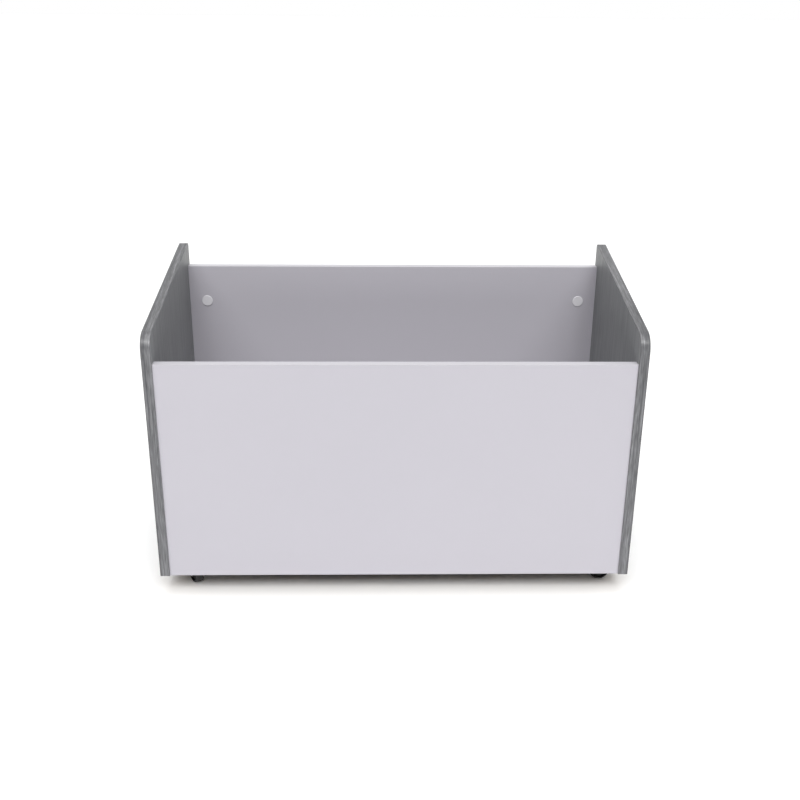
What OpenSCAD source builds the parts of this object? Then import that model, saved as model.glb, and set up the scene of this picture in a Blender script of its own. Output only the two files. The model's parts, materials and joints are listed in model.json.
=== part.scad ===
// Open-topped wooden toy box on four small swivel castors.
// A flat-pack build: five laminated boards with banded edges, held by dowels and cam fittings.
// Origin: on the floor, at the centre of the footprint. The front faces -Y, and +Z is up.

/* [Box] */
// Overall width, across both side panels
box_w = 600; // [480:5:800]
// Overall depth, along the side panels
box_d = 280; // [240:5:360]
// Height of the side panels where their sloping edge meets the front edge
shoulder_z = 350; // [336:1:380]
// Height of the side panels where their sloping edge meets the back edge
crown_z = 400; // [390:1:460]
// Radius of the rounded shoulder
shoulder_r = 22; // [8:1:30]
// Radius of the rounded top corner at the back
crown_r = 4; // [3:0.5:12]
// Height of the front panel's top edge
front_top_z = 316; // [280:1:330]
// Height of the back panel's top edge
back_top_z = 369; // [330:1:385]
// How far the front and back panels stand in from the edges of the side panels
panel_setback = 2; // [0.5:0.5:6]

/* [Boards] */
// Thickness of every board
board_t = 12; // [12:0.5:18]
// Thickness of the edge banding
band_t = 0.8; // [0.4:0.1:2]
// Height of the bottom board above the lower edges of the other boards
bottom_lift = 4; // [0:0.5:10]

/* [Fittings] */
// Diameter of the cam locks
cam_d = 12; // [10:0.5:12]
// Distance from a board's end to the centre of a cam lock
cam_in = 24; // [20:1:34]
// Distance from a panel's end to its nearest cam lock
cam_row_in = 50; // [40:1:70]
// Pitch of the fitting holes
row_pitch = 32; // [20:1:40]
// Diameter of the wooden dowels
dowel_d = 6; // [5:0.5:8]
// Length of the wooden dowels
dowel_l = 20; // [16:1:24]
// Diameter of the cover caps
cap_d = 15; // [14:0.5:18]

/* [Castors] */
// Overall height of a castor, from the floor to the underside of the bottom board
castor_h = 34; // [33:0.5:40]
// Diameter of a castor wheel
wheel_d = 25; // [20:0.5:25]
// Width of a castor wheel's tread
wheel_w = 11; // [9:0.5:12]
// Distance from the swivel axis to the axle
trail = 7; // [6:0.5:8]
// Distance from a side panel's outer face to a castor's swivel axis
castor_in_x = 34; // [34:1:60]
// Distance from the front or back edge to a castor's swivel axis
castor_in_y = 44; // [42:1:60]
// Direction in which the front left castor trails, from +X towards +Y
front_left_turn = -55; // [-180:1:180]
// Direction in which the front right castor trails
front_right_turn = -4; // [-180:1:180]
// Direction in which the rear left castor trails
rear_left_turn = -20; // [-180:1:180]
// Direction in which the rear right castor trails
rear_right_turn = 14; // [-180:1:180]

/* [Hidden] */
$fn = 64;
cut = 1;          // how far a cutting tool stands past the face it cuts
end_gap = 0.5;    // left free at the bottom of a blind hole

// Boards
inner_x = box_w / 2 - board_t;
skirt_z = castor_h - bottom_lift;
front_y = -box_d / 2 + panel_setback;
back_y = box_d / 2 - panel_setback;
bottom_z = castor_h;
slope = atan2(crown_z - shoulder_z, box_d);
shoulder_c = [-box_d / 2 + shoulder_r, shoulder_z + shoulder_r * (tan(slope) - 1 / cos(slope))];
crown_c = [box_d / 2 - crown_r, crown_z - crown_r * (tan(slope) + 1 / cos(slope))];
arris_r = min(0.6, band_t * 0.75);  // rounding of the edge bands on the front and back panels

// Joints between a side panel and the other boards: [side, y, z, rotation that faces the cam inwards]
front_mid_y = front_y + board_t / 2;
back_mid_y = back_y - board_t / 2;
bottom_mid_z = bottom_z + board_t / 2;
faces_back = [-90, 0, 0];
faces_front = [90, 0, 0];
faces_down = [180, 0, 0];
low_row_z = skirt_z + cam_row_in;
bottom_cam_y = 60;
bottom_dowel_y = 20;
cam_points = [
    for (s = [-1, 1])
        each [
            for (z = [low_row_z, front_top_z - cam_row_in]) [s, front_mid_y, z, faces_back],
            for (z = [low_row_z, back_top_z - cam_row_in]) [s, back_mid_y, z, faces_front],
            for (y = [-bottom_cam_y, bottom_cam_y]) [s, y, bottom_mid_z, faces_down]
        ]
];
capped_cam_points = [for (p = cam_points) if (p[3] != faces_down) p];
end_dowel_points = [
    for (s = [-1, 1])
        each [
            for (z = [low_row_z + row_pitch, front_top_z - cam_row_in - row_pitch]) [s, front_mid_y, z],
            for (z = [low_row_z + row_pitch, back_top_z - cam_row_in - row_pitch]) [s, back_mid_y, z],
            for (y = [-bottom_dowel_y, bottom_dowel_y]) [s, y, bottom_mid_z]
        ]
];
// Dowels along the front and back edges of the bottom board: [x, side]
edge_dowel_pitch = box_w * 0.3;
edge_dowel_points = [for (x = [-1, 0, 1]) for (s = [-1, 1]) [x * edge_dowel_pitch, s]];

// Fittings
blind = 8.5;       // depth of the holes in the face of a board
bolt_r = 2.5;
shank_r = 2;
neck_r = 1.3;
head_r = 3;
end_bore_r = 3.5;
cam_r = cam_d / 2;
cam_h = board_t - 2;
cam_fit = 0.1;
cap_t = 1;
dowel_in_face = blind - end_gap;

// Castors: [x, y, turn]
castor_x = box_w / 2 - castor_in_x;
castor_y = box_d / 2 - castor_in_y;
front_left = [-castor_x, -castor_y, front_left_turn];
front_right = [castor_x, -castor_y, front_right_turn];
rear_left = [-castor_x, castor_y, rear_left_turn];
rear_right = [castor_x, castor_y, rear_right_turn];
castors = [front_left, front_right, rear_left, rear_right];
plate_w = 34;
plate_t = 1.5;
plate_corner_r = 4;
plate_z = castor_h - plate_t;
screw_in = 12;     // from the swivel axis to a screw, along either side of the plate
screw_points = [for (x = [-1, 1]) for (y = [-1, 1]) [x * screw_in, y * screw_in]];
screw_r = 1.75;
screw_hole_r = 2.1;
screw_head_r = 3;
screw_head_h = 1.9;
screw_l = 8.5;
cup_r = 10.6;      // pressed cup in the plate, which holds the upper ball track
cup_wall = 1.2;
cup_z = castor_h - 3.1;
web_t = 1.2;       // sheet of the fork
ball_r = 1.5;
ball_gap = 0.05;
track_r = 7.6;
ball_count = 14;
web_top_z = cup_z - 2.2;
web_z = web_top_z - web_t;
track_z = (cup_z + web_top_z) / 2;
rim_in_r = cup_r + 0.5;
rim_r = rim_in_r + 1.2;
rim_top_z = plate_z - 0.8;
pin_r = 3;
pin_fit = 0.08;
pin_head_r = 4.6;
pin_head_h = 1.2;
pin_head_gap = 0.3;
wheel_r = wheel_d / 2;
axle_r = 2;
axle_fit = 0.06;
hub_r = 4.2;
hub_gap = 0.3;
cheek_in = wheel_w / 2 + 0.6;
cheek_out = cheek_in + web_t;
eye_r = 4.6;       // rounded end of a fork cheek, round the axle

// Point where a line from p touches the circle of radius r about c, on the given side
function tangent(p, c, r, side) =
    let (d = norm(p - c), a = atan2(p[1] - c[1], p[0] - c[0]) + side * acos(r / d))
    c + r * [cos(a), sin(a)];

// ---- Boards ----

// Outline of a side panel, seen along X, with every edge but the lowest moved in by g
module side_outline(g) {
    up_slope = [-sin(slope), cos(slope)];
    polygon([
        [-box_d / 2 + g, skirt_z],
        [box_d / 2 - g, skirt_z],
        [box_d / 2 - g, crown_c[1]],
        crown_c + (crown_r - g) * up_slope,
        shoulder_c + (shoulder_r - g) * up_slope,
        [-box_d / 2 + g, shoulder_c[1]]
    ]);
    translate(crown_c) circle(r = crown_r - g);
    translate(shoulder_c) circle(r = shoulder_r - g);
}

// Stands what is drawn in depth, height and board thickness upright on the given side of the box
module on_side(s) {
    translate([s > 0 ? inner_x : -box_w / 2, 0, 0])
        rotate([90, 0, 90]) children();
}

// A hole or a bar along X: from the inner face of side s, out into the side panel and in towards the middle
module along_joint(s, r, out, into) {
    translate([s * inner_x, 0, 0])
        rotate([0, 90 * s, 0])
            translate([0, 0, -into]) cylinder(r = r, h = out + into);
}

module side_panel(s) {
    color("slategray")
        difference() {
            on_side(s) linear_extrude(board_t) side_outline(band_t);
            for (p = cam_points)
                if (p[0] == s)
                    translate([0, p[1], p[2]]) along_joint(s, bolt_r, blind, cut);
            for (p = end_dowel_points)
                if (p[0] == s)
                    translate([0, p[1], p[2]]) along_joint(s, dowel_d / 2, blind, cut);
        }
}

module left_side_panel() side_panel(-1);
module right_side_panel() side_panel(1);

module side_edge_band(s) {
    color("gray")
        on_side(s)
            linear_extrude(board_t)
                difference() {
                    side_outline(0);
                    side_outline(band_t);
                }
}

module left_side_edge_band() side_edge_band(-1);
module right_side_edge_band() side_edge_band(1);

// Everything drilled into the ends of the front, back and bottom boards
module end_drilling() {
    for (p = cam_points) {
        translate([0, p[1], p[2]]) along_joint(p[0], end_bore_r, cut, cam_in);
        at_cam(p) cylinder(r = cam_r, h = cam_h + cut);
    }
    for (p = end_dowel_points)
        translate([0, p[1], p[2]]) along_joint(p[0], dowel_d / 2, cut, dowel_l - dowel_in_face + end_gap);
}

// Everything drilled for the dowels between the bottom board and the front and back panels
module edge_drilling() {
    for (p = edge_dowel_points)
        at_edge_dowel(p) cylinder(r = dowel_d / 2, h = dowel_l + 2 * end_gap);
}

// Origin at the bottom of a cam's seat, with +Z out of its mouth
module at_cam(p) {
    translate([p[0] * (inner_x - cam_in), p[1], p[2]])
        rotate(p[3])
            translate([0, 0, board_t / 2 - cam_h]) children();
}

// Origin at a dowel's hidden end in the front or back panel, with +Z towards the middle of the box
module at_edge_dowel(p) {
    hidden_end = (p[1] < 0 ? -front_y : back_y) - board_t + dowel_in_face + end_gap;
    translate([p[0], p[1] * hidden_end, bottom_mid_z])
        rotate([p[1] * 90, 0, 0]) children();
}

module upright_board(y, top_z) {
    difference() {
        translate([-inner_x, y, skirt_z]) cube([2 * inner_x, board_t, top_z - band_t - skirt_z]);
        end_drilling();
        edge_drilling();
    }
}

// Edge band on the top of an upright board, with its two long upper edges rounded
module top_band(y, top_z) {
    flat = board_t - 2 * arris_r;
    translate([-inner_x, y + board_t / 2, top_z])
        rotate([90, 0, 90])
            linear_extrude(2 * inner_x)
                intersection() {
                    translate([-board_t / 2, -band_t]) square([board_t, band_t]);
                    union() {
                        translate([-board_t / 2, -band_t]) square([board_t, band_t - arris_r]);
                        translate([-flat / 2, -band_t]) square([flat, band_t]);
                        for (s = [-1, 1])
                            translate([s * flat / 2, -arris_r]) circle(r = arris_r);
                    }
                }
}

module front_panel() color("ghostwhite") upright_board(front_y, front_top_z);
module front_edge_band() color("white") top_band(front_y, front_top_z);
module back_panel() color("gainsboro") upright_board(back_y - board_t, back_top_z);
module back_edge_band() color("white") top_band(back_y - board_t, back_top_z);

module bottom_panel() {
    inner_front = front_y + board_t;
    inner_back = back_y - board_t;
    color("whitesmoke")
        difference() {
            translate([-inner_x, inner_front, bottom_z])
                cube([2 * inner_x, inner_back - inner_front, board_t]);
            end_drilling();
            edge_drilling();
            for (c = castors)
                translate([c[0], c[1], 0])
                    for (p = screw_points)
                        translate([p[0], p[1], bottom_z - cut])
                            cylinder(r = screw_r, h = cut + screw_l + end_gap);
        }
}

// ---- Fittings ----

// A dowel with chamfered ends, from its end on the XY plane
module dowel() {
    chamfer = 0.8;
    r = dowel_d / 2;
    cylinder(r1 = r - chamfer, r2 = r, h = chamfer);
    translate([0, 0, chamfer]) cylinder(r = r, h = dowel_l - 2 * chamfer);
    translate([0, 0, dowel_l - chamfer]) cylinder(r1 = r, r2 = r - chamfer, h = chamfer);
}

module wooden_dowels() {
    color("burlywood") {
        for (p = end_dowel_points)
            translate([p[0] * (inner_x + dowel_in_face), p[1], p[2]])
                rotate([0, -90 * p[0], 0]) dowel();
        for (p = edge_dowel_points)
            at_edge_dowel(p) translate([0, 0, end_gap]) dowel();
    }
}

// A cam bolt: thread in the side panel above the XY plane, collar, shank, neck and head below it
module cam_bolt() {
    collar_h = 1;
    head_h = 2.6;
    neck_h = 3;
    head_top = -(cam_in - head_h / 2);
    cylinder(r = bolt_r, h = blind - end_gap);
    translate([0, 0, -collar_h]) cylinder(r = end_bore_r - 0.1, h = collar_h);
    translate([0, 0, head_top + neck_h]) cylinder(r = shank_r, h = -collar_h - head_top - neck_h);
    translate([0, 0, head_top]) cylinder(r = neck_r, h = neck_h);
    translate([0, 0, head_top - head_h]) cylinder(r = head_r, h = head_h);
}

module cam_bolts() {
    color("lightgray")
        for (p = cam_points)
            translate([p[0] * inner_x, p[1], p[2]])
                rotate([0, 90 * p[0], 0]) cam_bolt();
}

// Cross-shaped driver recess, cut down from the XY plane
module cross_recess(reach, width, depth) {
    for (a = [0, 90])
        rotate([0, 0, a])
            translate([-reach / 2, -width / 2, -depth]) cube([reach, width, depth + cut]);
}

// A cam lock in its closed position, with the bolt arriving from +X on side 1 or -X on side -1
module cam_lock(s) {
    grip_z = cam_h - board_t / 2;
    past_axis = 2.2;   // how far the cavity for the bolt's head runs past the cam's axis
    slot_r = shank_r + 0.2;
    difference() {
        cylinder(r = cam_r - cam_fit, h = cam_h);
        translate([0, 0, grip_z]) {
            rotate([0, -90 * s, 0]) translate([0, 0, -past_axis]) cylinder(r = end_bore_r, h = cam_d);
            rotate([0, 90 * s, 0]) cylinder(r = slot_r, h = cam_d);
        }
        translate([0, 0, cam_h]) cross_recess(reach = 5.4, width = 1.2, depth = 1.6);
    }
}

module cam_locks() {
    color("silver")
        for (p = cam_points)
            at_cam(p) cam_lock(p[0]);
}

// Plastic cover cap with a peg that clips into the cam's recess
module cover_cap() {
    edge = 0.4;
    peg_r = 0.55;
    peg_l = 1.2;
    translate([0, 0, -peg_l]) cylinder(r = peg_r, h = peg_l);
    cylinder(r = cap_d / 2, h = cap_t - edge);
    translate([0, 0, cap_t - edge]) cylinder(r1 = cap_d / 2, r2 = cap_d / 2 - edge, h = edge);
}

module cam_cover_caps() {
    color("white")
        for (p = capped_cam_points)
            at_cam(p) translate([0, 0, cam_h]) cover_cap();
}

// ---- Castors ----

// Places a sub-part drawn about the swivel axis, with the wheel trailing along +X
module at_castor(c) translate([c[0], c[1], 0]) rotate([0, 0, c[2]]) children();

// Places a sub-part that stays square to the box
module at_mount(c) translate([c[0], c[1], 0]) children();

// The round track that the balls run in
module ball_track() {
    translate([0, 0, track_z])
        rotate_extrude() translate([track_r, 0]) circle(r = ball_r + ball_gap);
}

module castor_plate() {
    flat = plate_w - 2 * plate_corner_r;
    color("dimgray")
        difference() {
            union() {
                translate([0, 0, plate_z])
                    linear_extrude(plate_t) {
                        square([plate_w, flat], center = true);
                        square([flat, plate_w], center = true);
                        for (x = [-1, 1])
                            for (y = [-1, 1])
                                translate([x * flat / 2, y * flat / 2]) circle(r = plate_corner_r);
                    }
                translate([0, 0, cup_z]) cylinder(r = cup_r, h = castor_h - cup_z);
            }
            translate([0, 0, cup_z + cup_wall]) cylinder(r = cup_r - cup_wall, h = castor_h);
            cylinder(r = pin_r, h = castor_h);
            ball_track();
            for (p = screw_points)
                translate([p[0], p[1], plate_z - cut]) cylinder(r = screw_hole_r, h = plate_t + 2 * cut);
        }
}

module castor_king_pin() {
    head_top = web_z - pin_head_gap;
    seat_z = cup_z + cup_wall;
    chamfer = 0.5;
    color("silver") {
        translate([0, 0, head_top - pin_head_h])
            cylinder(r1 = pin_head_r - chamfer, r2 = pin_head_r, h = chamfer);
        translate([0, 0, head_top - pin_head_h + chamfer])
            cylinder(r = pin_head_r, h = pin_head_h - chamfer);
        translate([0, 0, head_top]) cylinder(r = pin_r, h = seat_z - head_top);
        translate([0, 0, seat_z]) cylinder(r1 = pin_head_r, r2 = pin_r, h = pin_head_h);
    }
}

module castor_ball_race() {
    color("gray")
        for (i = [0:ball_count - 1])
            rotate([0, 0, 360 * i / ball_count])
                translate([track_r, 0, track_z]) sphere(r = ball_r, $fn = 24);
}

// A fork cheek seen along Y: from the web down to the eye round the axle
module cheek_outline() {
    eye = [trail, wheel_r];
    front_reach = rim_r * 0.72;
    front_corner = [-front_reach, web_z];
    rear_corner = [trail + eye_r, web_z];
    translate(eye) circle(r = eye_r);
    polygon([
        [front_corner[0], web_top_z],
        front_corner,
        tangent(front_corner, eye, eye_r, 1),
        eye,
        [rear_corner[0], eye[1]],
        rear_corner,
        [rear_corner[0], web_top_z]
    ]);
}

module castor_fork() {
    color("dimgray")
        difference() {
            union() {
                translate([0, 0, web_z]) cylinder(r = rim_r, h = rim_top_z - web_z);
                translate([0, -cheek_out, web_z]) cube([trail + eye_r, 2 * cheek_out, web_t]);
                for (y = [-cheek_out, cheek_in])
                    translate([0, y + web_t, 0])
                        rotate([90, 0, 0])
                            linear_extrude(web_t) cheek_outline();
            }
            translate([0, 0, web_top_z]) cylinder(r = rim_in_r, h = castor_h);
            cylinder(r = pin_r + pin_fit, h = castor_h);
            ball_track();
            translate([trail, cheek_out + cut, wheel_r])
                rotate([90, 0, 0]) cylinder(r = axle_r, h = 2 * (cheek_out + cut));
        }
}

module castor_axle() {
    rivet_r = 3.3;
    rivet_h = 1.1;
    rivet_taper = 0.9;
    color("silver")
        translate([trail, 0, wheel_r])
            rotate([90, 0, 0]) {
                cylinder(r = axle_r, h = 2 * cheek_out, center = true);
                for (s = [0, 180])
                    rotate([s, 0, 0])
                        translate([0, 0, cheek_out])
                            cylinder(r1 = rivet_r, r2 = rivet_r - rivet_taper, h = rivet_h);
            }
}

// Half of the wheel's section, as [radius, distance from the wheel's middle plane]
function wheel_section() =
    let (
        tread = wheel_w / 2,
        shoulder = 1.8,
        steps = 6,
        rim = 2.2,
        dish = 2.4,
        hub = cheek_in - hub_gap
    )
    [
        [axle_r + axle_fit, hub],
        [hub_r, hub],
        [hub_r + 0.5, tread - dish],
        [wheel_r - rim - 0.5, tread - dish],
        [wheel_r - rim, tread],
        for (i = [0:steps])
            let (a = 90 * i / steps)
            [wheel_r - shoulder + shoulder * sin(a), tread - shoulder + shoulder * cos(a)]
    ];

module castor_wheel() {
    half = wheel_section();
    other_half = [for (i = [len(half) - 1:-1:0]) [half[i][0], -half[i][1]]];
    color("black")
        translate([trail, 0, wheel_r])
            rotate([90, 0, 0])
                rotate_extrude() polygon(concat(half, other_half));
}

module castor_screw() {
    tip = 2;
    tip_r = 0.4;
    under_head_r = screw_head_r - 1;
    difference() {
        union() {
            translate([0, 0, -screw_head_h])
                cylinder(r1 = under_head_r, r2 = screw_head_r, h = screw_head_h / 2);
            translate([0, 0, -screw_head_h / 2]) cylinder(r = screw_head_r, h = screw_head_h / 2);
        }
        translate([0, 0, -screw_head_h])
            rotate([180, 0, 0]) cross_recess(reach = 3.2, width = 0.8, depth = 1);
    }
    cylinder(r = screw_r, h = plate_t + screw_l - tip);
    translate([0, 0, plate_t + screw_l - tip]) cylinder(r1 = screw_r, r2 = tip_r, h = tip);
}

module castor_screws() {
    color("silver")
        for (c = castors)
            at_mount(c)
                for (p = screw_points)
                    translate([p[0], p[1], plate_z]) castor_screw();
}

left_side_panel();
right_side_panel();
left_side_edge_band();
right_side_edge_band();
front_panel();
front_edge_band();
back_panel();
back_edge_band();
bottom_panel();
wooden_dowels();
cam_bolts();
cam_locks();
cam_cover_caps();
castor_screws();
at_mount(front_left) castor_plate();  // front_left_castor_plate
at_mount(front_right) castor_plate();  // front_right_castor_plate
at_mount(rear_left) castor_plate();  // rear_left_castor_plate
at_mount(rear_right) castor_plate();  // rear_right_castor_plate
at_mount(front_left) castor_king_pin();  // front_left_castor_king_pin
at_mount(front_right) castor_king_pin();  // front_right_castor_king_pin
at_mount(rear_left) castor_king_pin();  // rear_left_castor_king_pin
at_mount(rear_right) castor_king_pin();  // rear_right_castor_king_pin
at_castor(front_left) castor_ball_race();  // front_left_castor_ball_race
at_castor(front_right) castor_ball_race();  // front_right_castor_ball_race
at_castor(rear_left) castor_ball_race();  // rear_left_castor_ball_race
at_castor(rear_right) castor_ball_race();  // rear_right_castor_ball_race
at_castor(front_left) castor_fork();  // front_left_castor_fork
at_castor(front_right) castor_fork();  // front_right_castor_fork
at_castor(rear_left) castor_fork();  // rear_left_castor_fork
at_castor(rear_right) castor_fork();  // rear_right_castor_fork
at_castor(front_left) castor_axle();  // front_left_castor_axle
at_castor(front_right) castor_axle();  // front_right_castor_axle
at_castor(rear_left) castor_axle();  // rear_left_castor_axle
at_castor(rear_right) castor_axle();  // rear_right_castor_axle
at_castor(front_left) castor_wheel();  // front_left_castor_wheel
at_castor(front_right) castor_wheel();  // front_right_castor_wheel
at_castor(rear_left) castor_wheel();  // rear_left_castor_wheel
at_castor(rear_right) castor_wheel();  // rear_right_castor_wheel
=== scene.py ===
"""Looks, light and camera for the wooden toy box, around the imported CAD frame. Units are metres."""
import json
import math

import bpy
from mathutils import Matrix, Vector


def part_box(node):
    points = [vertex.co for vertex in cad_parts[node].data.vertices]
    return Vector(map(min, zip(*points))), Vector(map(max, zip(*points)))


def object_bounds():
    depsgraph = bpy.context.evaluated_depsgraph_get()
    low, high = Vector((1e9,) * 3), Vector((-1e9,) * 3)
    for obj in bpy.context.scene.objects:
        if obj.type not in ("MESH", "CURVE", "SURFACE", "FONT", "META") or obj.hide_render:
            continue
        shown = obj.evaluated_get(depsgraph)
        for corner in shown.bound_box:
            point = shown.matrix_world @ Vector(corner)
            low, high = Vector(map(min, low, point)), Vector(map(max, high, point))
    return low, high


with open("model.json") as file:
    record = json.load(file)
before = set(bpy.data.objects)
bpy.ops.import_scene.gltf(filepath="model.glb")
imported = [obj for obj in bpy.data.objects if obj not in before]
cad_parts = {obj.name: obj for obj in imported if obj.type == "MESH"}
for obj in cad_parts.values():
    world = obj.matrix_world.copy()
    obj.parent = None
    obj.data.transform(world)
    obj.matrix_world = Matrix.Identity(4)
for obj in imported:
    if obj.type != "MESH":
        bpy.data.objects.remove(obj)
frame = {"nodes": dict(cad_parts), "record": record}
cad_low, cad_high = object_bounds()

MM = 0.001
WHITE = (1.0, 1.0, 1.0, 1.0)
NODES = frame["nodes"]
SLOT_OF = {s["node"]: s["material_slot"] for s in frame["record"]["subparts"]}


# ---------------------------------------------------------------- node helpers

def feed(tree, socket, value):
    """Links a socket to the one that feeds it, or sets its value."""
    if isinstance(value, bpy.types.NodeSocket):
        tree.links.new(value, socket)
    else:
        socket.default_value = value


def add_node(tree, kind, inputs=None, **settings):
    """Adds a node. inputs goes from a socket's name or number to its value or the socket that feeds it."""
    made = tree.nodes.new(kind)
    for key, value in settings.items():
        setattr(made, key, value)
    for key, value in (inputs or {}).items():
        feed(tree, made.inputs[key], value)
    return made


def opaque(value):
    """Gives a colour of three numbers its alpha. Anything else passes as it is."""
    return (*value, 1.0) if isinstance(value, tuple) and len(value) == 3 else value


class Shader:
    """A node material that is built up by calls, with one Principled shader at its end."""

    def __init__(self, name):
        self.material = bpy.data.materials.new(name)
        self.material.use_nodes = True
        self.tree = self.material.node_tree
        self.tree.nodes.clear()
        self.shader = self.node("BsdfPrincipled")
        self.node("OutputMaterial", {0: self.shader.outputs[0]})

    def node(self, kind, inputs=None, **settings):
        """Adds a shader node. kind goes without its ShaderNode prefix."""
        return add_node(self.tree, "ShaderNode" + kind, inputs, **settings)

    def position(self):
        """The point in the row frame, in metres: every object sits at the origin."""
        return self.node("TexCoord").outputs["Object"]

    def parts(self, vector):
        """The three parts of a vector, as sockets."""
        return self.node("SeparateXYZ", {0: vector}).outputs

    def normal_parts(self):
        return self.parts(self.node("NewGeometry").outputs["Normal"])

    def faces_down(self):
        """1 where the surface faces the floor, and 0 elsewhere."""
        return self.span(self.normal_parts()[2], -0.7, -0.9)

    def plane(self, across, across_scale, along, along_scale):
        """A point on a plane, from a position across and a position along, each with its own scale."""
        inputs = {0: self.scaled(across, across_scale), 1: self.scaled(along, along_scale)}
        return self.node("CombineXYZ", inputs).outputs[0]

    def stretched(self, vector, scale):
        """A vector with its own scale along each axis."""
        return self.node("Mapping", {"Vector": vector, "Scale": scale}).outputs[0]

    def noise(self, vector, scale, detail=3.0, roughness=0.5):
        inputs = {"Vector": vector, "Scale": scale, "Detail": detail, "Roughness": roughness}
        return self.node("TexNoise", inputs).outputs[0]

    def cells(self, vector, per_metre):
        """A random tone for each cell of a foam, with so many cells to the metre along each axis."""
        foam = self.node("TexVoronoi", {"Vector": self.stretched(vector, per_metre), "Scale": 1.0})
        return self.node("SeparateColor", {0: foam.outputs["Color"]}).outputs[0]

    def math(self, operation, a, b=0.0):
        return self.node("Math", {0: a, 1: b}, operation=operation).outputs[0]

    def scaled(self, value, factor):
        return self.math("MULTIPLY", value, factor)

    def span(self, value, low, high, to_low=0.0, to_high=1.0):
        """Maps low to to_low and high to to_high, and stays at those past them."""
        inputs = {"Value": value, 1: low, 2: high, 3: to_low, 4: to_high}
        return self.node("MapRange", inputs).outputs[0]

    def ramp(self, value, *stops):
        """A colour for each value, from stops of a place and a colour."""
        made = self.node("ValToRGB", {0: value})
        points = made.color_ramp.elements
        while len(points) < len(stops):
            points.new(0.5)
        for point, (place, colour) in zip(points, stops):
            point.position = place
            point.color = opaque(colour)
        return made.outputs[0]

    def mix(self, factor, a, b):
        """Colours a and b, mixed. A colour may be a socket or three numbers."""
        inputs = {0: factor, 6: opaque(a), 7: opaque(b)}
        return self.node("Mix", inputs, data_type="RGBA").outputs[2]

    def bump(self, height, distance, strength=1.0, normal=None):
        inputs = {"Height": height, "Distance": distance, "Strength": strength}
        if normal is not None:
            inputs["Normal"] = normal
        return self.node("Bump", inputs).outputs[0]

    def finish(self, **inputs):
        """Sets the Principled shader's sockets; an underscore in a name stands for a space."""
        for key, value in inputs.items():
            feed(self.tree, self.shader.inputs[key.replace("_", " ")], opaque(value))
        return self.material


def grey(level):
    return (level, level, level)


# ---------------------------------------------------------------- materials

def chipboard(s, vector):
    """Colour of raw particle board: chips of a millimetre or so in finer dust, with small dark pits."""
    chips = s.cells(vector, (620, 1150, 900))
    dust = s.cells(vector, (2600, 2100, 2300))
    tone = s.math("ADD", s.scaled(chips, 0.5), s.scaled(dust, 0.5))
    brown = s.ramp(
        tone,
        (0.12, (0.22, 0.14, 0.075)),
        (0.50, (0.41, 0.29, 0.175)),
        (0.88, (0.60, 0.47, 0.32)),
    )
    pits = s.span(s.noise(vector, 900.0, detail=2.0), 0.62, 0.70)
    return s.mix(pits, brown, (0.11, 0.07, 0.04))


def backing_paper(s, vector):
    """Colour of the dull, dark grey paper on the underside of the bottom board."""
    fibres = s.noise(s.stretched(vector, (70, 420, 420)), 1.0, detail=4.0, roughness=0.65)
    return s.mix(fibres, (0.052, 0.051, 0.055), (0.088, 0.086, 0.092))


def white_melamine(name):
    """Satin white laminate, with raw board on the uprights' feet and backing paper under the bottom."""
    s = Shader(name)
    p = s.position()
    drift = s.noise(p, 4.0, detail=2.0)
    face = s.mix(drift, (0.474, 0.461, 0.503), (0.496, 0.481, 0.523))
    specks = s.span(s.noise(p, 2600.0, detail=1.0), 0.70, 0.78)
    face = s.mix(s.scaled(specks, 0.18), face, (0.50, 0.49, 0.54))
    down = s.faces_down()
    at_foot = s.span(s.parts(p)[2], ABOVE_FEET + 0.2 * MM, ABOVE_FEET - 0.2 * MM)
    colour = s.mix(down, face, s.mix(at_foot, backing_paper(s, p), chipboard(s, p)))
    peel = s.noise(p, 1100.0, detail=2.0)
    broad = s.noise(p, 35.0, detail=1.0)
    normal = s.bump(peel, 0.012 * MM, 0.6, s.bump(broad, 0.10 * MM, 0.35))
    rough = s.math("ADD", s.span(s.noise(p, 60.0), 0.3, 0.7, 0.34, 0.42), s.scaled(down, 0.45))
    return s.finish(Base_Color=colour, Roughness=rough, Normal=normal, Specular_IOR_Level=0.45)


def white_band(name):
    """White plastic edge banding, scraped flush, with painted shade on its narrow front and back faces: they
    are darker than its top, for the shade at the rounded arris together with a dark glue line.
    """
    s = Shader(name)
    p = s.position()
    drift = s.noise(s.stretched(p, (6, 60, 60)), 1.0)
    colour = s.mix(drift, (0.545, 0.536, 0.572), (0.572, 0.562, 0.600))
    # Painted shade: faces that look to the front or back are darkened, standing for the shade at the rounded
    # arris together with a dark glue line.
    arris_shade_and_glue_line = s.span(s.math("ABSOLUTE", s.normal_parts()[1]), 0.35, 0.9)
    colour = s.mix(s.scaled(arris_shade_and_glue_line, 0.6), colour, (0.335, 0.328, 0.350))
    normal = s.bump(s.noise(s.stretched(p, (120, 2200, 2200)), 1.0), 0.01 * MM, 0.6)
    rough = s.span(s.noise(p, 90.0), 0.3, 0.7, 0.30, 0.38)
    return s.finish(Base_Color=colour, Roughness=rough, Normal=normal, Specular_IOR_Level=0.5)


def wood_grain(s, across, along, fine=1.0):
    """Printed grain and its finest hairs, as heights from 0 to 1.

    across and along are positions in metres, over and along the fibres. A higher fine packs them closer.
    """
    widest_sway = 30 * MM
    sway = s.noise(s.plane(across, 14.0, along, 1.6), 1.0, detail=2.0)
    bent = s.math("ADD", across, s.scaled(s.math("SUBTRACT", sway, 0.5), widest_sway))
    rings = s.noise(s.plane(bent, 210.0 * fine, along, 3.0), 1.0, detail=3.0, roughness=0.6)
    hairs = s.noise(s.plane(bent, 1300.0 * fine, along, 22.0), 1.0, detail=2.0, roughness=0.6)
    return s.math("ADD", s.scaled(rings, 0.6), s.scaled(hairs, 0.4)), hairs


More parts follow.
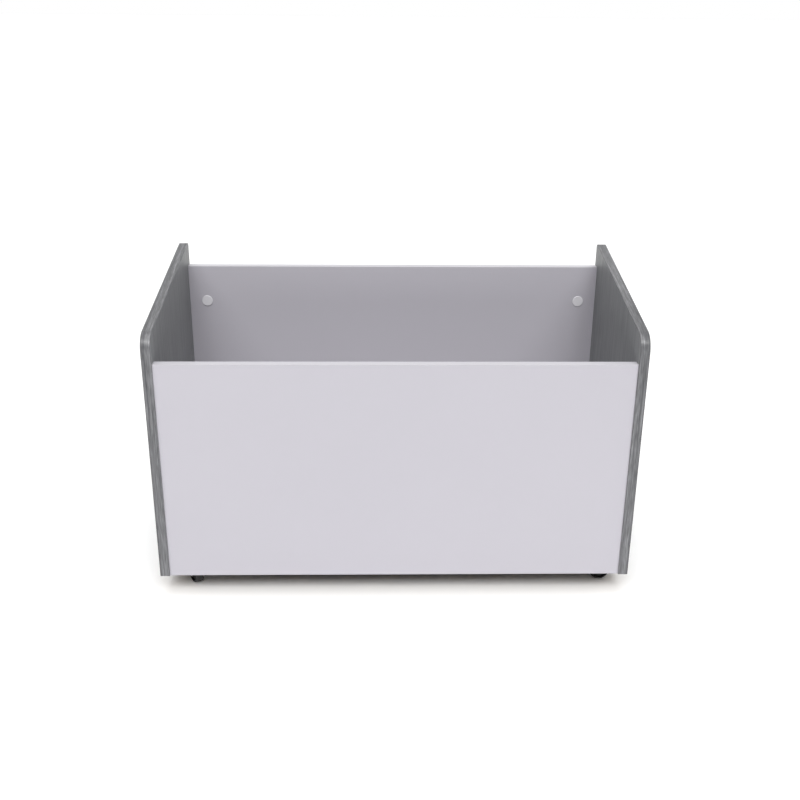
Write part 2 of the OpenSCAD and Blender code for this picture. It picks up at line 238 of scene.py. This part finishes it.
def grey_laminate(name):
    """Grey wood-grain laminate with the grain upright, and raw particle board on the lowest edge."""
    s = Shader(name)
    p = s.position()
    x, y, z = s.parts(p)
    grain, hairs = wood_grain(s, s.math("ADD", y, s.scaled(x, 0.7)), z)
    face = s.ramp(
        grain,
        (0.30, (0.172, 0.178, 0.182)),
        (0.50, (0.236, 0.244, 0.246)),
        (0.70, (0.316, 0.324, 0.327)),
    )
    pores = s.scaled(s.span(hairs, 0.40, 0.30), 0.5)
    face = s.mix(pores, face, (0.105, 0.108, 0.110))
    down = s.faces_down()
    colour = s.mix(down, face, chipboard(s, p))
    normal = s.bump(s.math("SUBTRACT", grain, pores), 0.05 * MM, 0.5)
    rough = s.math("ADD", s.span(grain, 0.3, 0.7, 0.50, 0.42), s.scaled(down, 0.4))
    return s.finish(Base_Color=colour, Roughness=rough, Normal=normal, Specular_IOR_Level=0.4)


def grey_band(name):
    """Grey edge banding: streaks that follow the edge up and back, with a darker outer arris: painted shade
    of the eased edge, together with the band's dark core.
    """
    s = Shader(name)
    p = s.position()
    x, y, z = s.parts(p)
    along = s.math("ADD", y, z)
    grain, hairs = wood_grain(s, x, along, fine=1.9)
    face = s.ramp(
        grain,
        (0.36, (0.061, 0.062, 0.066)),
        (0.50, (0.134, 0.135, 0.142)),
        (0.63, (0.249, 0.250, 0.260)),
    )
    streaks = s.noise(s.plane(x, 900.0, along, 55.0), 1.0, detail=2.0, roughness=0.6)
    brightness = s.span(streaks, 0.32, 0.68, 0.66, 1.34)
    face = s.node("VectorMath", {0: face, "Scale": brightness}, operation="SCALE").outputs[0]
    outermost = cad_high.x
    # Painted shade: the last 1.7 mm towards the outer face are darkened, for the shade at the eased arris,
    # mixed with the band's darker core.
    dark_edge_starts, dark_edge_full = 1.7 * MM, 0.6 * MM
    arris_shade_and_core = s.span(s.math("ABSOLUTE", x), outermost - dark_edge_starts, outermost - dark_edge_full)
    face = s.mix(s.scaled(arris_shade_and_core, 0.62), face, (0.085, 0.087, 0.089))
    normal = s.bump(hairs, 0.03 * MM, 0.5)
    rough = s.span(grain, 0.3, 0.7, 0.36, 0.28)
    return s.finish(Base_Color=face, Roughness=rough, Normal=normal, Specular_IOR_Level=0.5)


def beech(name):
    """Raw beech, with its fibres along the dowels."""
    s = Shader(name)
    p = s.position()
    streak = s.noise(s.stretched(p, (60, 900, 900)), 1.0, detail=3.0)
    colour = s.ramp(streak, (0.3, (0.50, 0.33, 0.18)), (0.7, (0.70, 0.52, 0.33)))
    return s.finish(Base_Color=colour, Roughness=0.6, Normal=s.bump(streak, 0.05 * MM, 0.4))


def metal(name, dark, light, rough, cast=0.0):
    """Bare or plated metal: a mottled reflection with fine handling marks. cast roughens its surface."""
    s = Shader(name)
    p = s.position()
    mottle = s.noise(p, 420.0, detail=3.0)
    marks = s.noise(s.stretched(p, (300, 2600, 900)), 1.0, detail=2.0)
    colour = s.mix(mottle, dark, light)
    normal = s.bump(s.math("ADD", marks, s.scaled(mottle, cast)), 0.02 * MM, 0.5)
    roughness = s.span(marks, 0.3, 0.7, rough - 0.07, rough + 0.08)
    return s.finish(Base_Color=colour, Metallic=1.0, Roughness=roughness, Normal=normal)


def white_plastic(name):
    """Moulded satin white plastic."""
    s = Shader(name)
    p = s.position()
    colour = s.mix(s.noise(p, 200.0), (0.70, 0.69, 0.72), (0.75, 0.74, 0.77))
    normal = s.bump(s.noise(p, 3000.0, detail=1.0), 0.01 * MM, 0.5)
    rough = s.span(s.noise(p, 300.0), 0.3, 0.7, 0.28, 0.36)
    return s.finish(Base_Color=colour, Roughness=rough, Normal=normal)


def black_coat(name):
    """Powder coat on pressed steel, rubbed a little lighter in places."""
    s = Shader(name)
    p = s.position()
    rubbed = s.span(s.noise(p, 260.0, detail=4.0), 0.58, 0.72)
    colour = s.mix(rubbed, grey(0.018), grey(0.045))
    normal = s.bump(s.noise(p, 2400.0, detail=1.0), 0.03 * MM, 0.6)
    rough = s.span(rubbed, 0.0, 1.0, 0.46, 0.34)
    return s.finish(Base_Color=colour, Roughness=rough, Normal=normal)


def black_nylon(name):
    """Moulded nylon, with the grey dust that a tread picks up."""
    s = Shader(name)
    p = s.position()
    dust = s.span(s.noise(p, 240.0, detail=5.0, roughness=0.65), 0.52, 0.72)
    colour = s.mix(s.scaled(dust, 0.5), grey(0.013), (0.062, 0.060, 0.057))
    normal = s.bump(s.noise(p, 1800.0, detail=2.0), 0.04 * MM, 0.5)
    rough = s.span(dust, 0.0, 1.0, 0.40, 0.62)
    return s.finish(Base_Color=colour, Roughness=rough, Normal=normal)


# A height between the feet of the front and back panels and the underside of the bottom board
ABOVE_FEET = (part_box("front_panel")[0].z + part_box("bottom_panel")[0].z) / 2
MATERIALS = {
    "grey_laminate": grey_laminate("grey_laminate"),
    "grey_edge_band": grey_band("grey_edge_band"),
    "white_laminate": white_melamine("white_laminate"),
    "white_edge_band": white_band("white_edge_band"),
    "beech": beech("beech"),
    "zinc_plated_steel": metal("zinc_plated_steel", grey(0.50), (0.64, 0.65, 0.67), 0.30),
    "die_cast_zinc": metal("die_cast_zinc", grey(0.40), (0.54, 0.55, 0.56), 0.46, cast=1.0),
    "bearing_steel": metal("bearing_steel", grey(0.55), grey(0.66), 0.14),
    "white_plastic": white_plastic("white_plastic"),
    "black_coated_steel": black_coat("black_coated_steel"),
    "black_nylon": black_nylon("black_nylon"),
}


def dress(node):
    """Gives a CAD node its slot's finish."""
    piece = NODES[node]
    slot = SLOT_OF[node]
    piece.data.materials.clear()
    piece.data.materials.append(MATERIALS[slot])


# ---------------------------------------------------------------- eased edges

WELD_GAP = 0.002 * MM
SHARP = math.radians(40)


def contour_marks():
    """Geometry nodes that weld a side panel's edge band and mark only its outer arrises for a bevel.

    An outer arris is a sharp edge that runs along the board's outline, on the side that faces away
    from the middle of the board. The band's flush joints with the panel stay as they are.
    """
    tree = bpy.data.node_groups.new("contour_marks", "GeometryNodeTree")
    for way in ("INPUT", "OUTPUT"):
        tree.interface.new_socket("Mesh", in_out=way, socket_type="NodeSocketGeometry")

    def add(kind, *inputs, **settings):
        return add_node(tree, kind, dict(enumerate(inputs)), **settings).outputs

    def compute(operation, *inputs):
        return add("ShaderNodeMath", *inputs, operation=operation)[0]

    def vector(operation, *inputs):
        return add("ShaderNodeVectorMath", *inputs, operation=operation)

    def parts(value):
        return add("ShaderNodeSeparateXYZ", value)

    low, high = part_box("left_side_edge_band")
    middle = (low + high) / 2
    place = add("GeometryNodeInputPosition")[0]
    normal = add("GeometryNodeInputNormal")[0]
    angle = add("GeometryNodeInputMeshEdgeAngle")[0]
    ends = add("GeometryNodeInputMeshEdgeVertices")
    run = vector("NORMALIZE", vector("SUBTRACT", ends["Position 2"], ends["Position 1"])[0])[0]
    from_middle = vector("SUBTRACT", place, (0.0, middle.y, middle.z))[0]
    outward = vector("MULTIPLY", from_middle, (0.0, 1.0, 1.0))[0]
    facing_out = vector("DOT_PRODUCT", normal, outward)[1]
    sideways = compute("ABSOLUTE", parts(run)[0])
    is_sharp = compute("GREATER_THAN", angle, SHARP)
    runs_lengthwise = compute("LESS_THAN", sideways, 0.5)
    is_outside = compute("GREATER_THAN", facing_out, 0.0)
    is_off_the_foot = compute("GREATER_THAN", parts(place)[2], low.z + WELD_GAP)
    mark = is_sharp
    for test in (runs_lengthwise, is_outside, is_off_the_foot):
        mark = compute("MULTIPLY", mark, test)

    source = add("NodeGroupInput")[0]
    weld = {"Geometry": source, "Distance": WELD_GAP}
    welded = add_node(tree, "GeometryNodeMergeByDistance", weld).outputs[0]
    label = {"Geometry": welded, "Name": "bevel_weight_edge", "Value": mark}
    kind = "GeometryNodeStoreNamedAttribute"
    marked = add_node(tree, kind, label, data_type="FLOAT", domain="EDGE").outputs[0]
    add("NodeGroupOutput", marked)
    return tree


def ease(node, width, segments=2, marks=None):
    """Rounds the sharp edges of a CAD node by a hair, or only the edges that marks picks out."""
    piece = NODES[node]
    if marks:
        piece.modifiers.new("marks", "NODES").node_group = marks
    else:
        piece.modifiers.new("weld", "WELD").merge_threshold = WELD_GAP
    bevel = piece.modifiers.new("ease", "BEVEL")
    bevel.width = width
    bevel.segments = segments
    bevel.limit_method = "WEIGHT" if marks else "ANGLE"
    bevel.angle_limit = SHARP
    bevel.harden_normals = True


BAND_ARRIS = 0.5 * MM
EASE_BY_SLOT = {
    "white_plastic": 0.15 * MM,
    "black_coated_steel": 0.2 * MM,
}
CONTOUR_MARKS = contour_marks()

for node in NODES:
    dress(node)
    if SLOT_OF[node] in EASE_BY_SLOT:
        ease(node, EASE_BY_SLOT[SLOT_OF[node]])
    elif SLOT_OF[node] == "grey_edge_band":
        ease(node, BAND_ARRIS, segments=3, marks=CONTOUR_MARKS)


# ---------------------------------------------------------------- floor, light, camera

def stage_floor():
    """A plain pale floor, wide enough to look endless."""
    reach = 60.0
    mesh = bpy.data.meshes.new("floor")
    corners = [(-reach, -reach, 0), (reach, -reach, 0), (reach, reach, 0), (-reach, reach, 0)]
    mesh.from_pydata(corners, [], [(0, 1, 2, 3)])
    floor = bpy.data.objects.new("floor", mesh)
    bpy.context.scene.collection.objects.link(floor)
    s = Shader("pale_floor")
    s.finish(Base_Color=grey(0.97), Roughness=0.9, Specular_IOR_Level=0.0)
    mesh.materials.append(s.material)


def sky_light(name, azimuth, elevation, spread, strength):
    """A very soft, even light over the whole floor. Angles are in degrees, and azimuth 0 is the front."""
    lamp = bpy.data.lights.new(name, "SUN")
    lamp.energy = strength
    lamp.angle = math.radians(spread)
    holder = bpy.data.objects.new(name, lamp)
    bpy.context.scene.collection.objects.link(holder)
    holder.rotation_euler = (math.radians(90 - elevation), 0.0, math.radians(azimuth))


def pale_world(front, behind, backdrop):
    """A backdrop that lights the object from behind, with a dimmer room in front, seen as plain white."""
    world = bpy.data.worlds.new("studio")
    world.use_nodes = True
    tree = world.node_tree
    tree.nodes.clear()

    def add(kind, *inputs):
        return add_node(tree, "ShaderNode" + kind, dict(enumerate(inputs))).outputs

    depth = add("SeparateXYZ", add("TexCoord")["Generated"])[1]
    level = add("MapRange", depth, -0.1, 0.3, front, behind)[0]
    light = add("Background", WHITE, level)[0]
    white = add("Background", WHITE, backdrop)[0]
    seen = add("LightPath")["Is Camera Ray"]
    add("OutputWorld", add("MixShader", seen, light, white)[0])
    bpy.context.scene.world = world


def studio_camera():
    """A camera above the front, a little to the left and turned to the right, looking down."""
    data = bpy.data.cameras.new("camera")
    data.sensor_width = 36.0
    data.lens = 45.0
    camera = bpy.data.objects.new("camera", data)
    bpy.context.scene.collection.objects.link(camera)
    place = (-0.0222, -1.2527, 0.7119)
    heading, pitch, roll = (math.radians(a) for a in (1.37, 21.56, 0.49))
    camera.matrix_world = (
        Matrix.Translation(place)
        @ Matrix.Rotation(-heading, 4, "Z")
        @ Matrix.Rotation(math.pi / 2 - pitch, 4, "X")
        @ Matrix.Rotation(roll, 4, "Z")
    )
    bpy.context.scene.camera = camera


stage_floor()
pale_world(front=0.05, behind=0.7, backdrop=1.0)
sky_light("overhead", azimuth=0, elevation=80, spread=34, strength=0.9)
for number, azimuth in enumerate((-28, 0, 28)):
    sky_light(f"key_{number}", azimuth=azimuth, elevation=46, spread=28, strength=1.0)
studio_camera()
bpy.context.scene.view_settings.view_transform = "Standard"
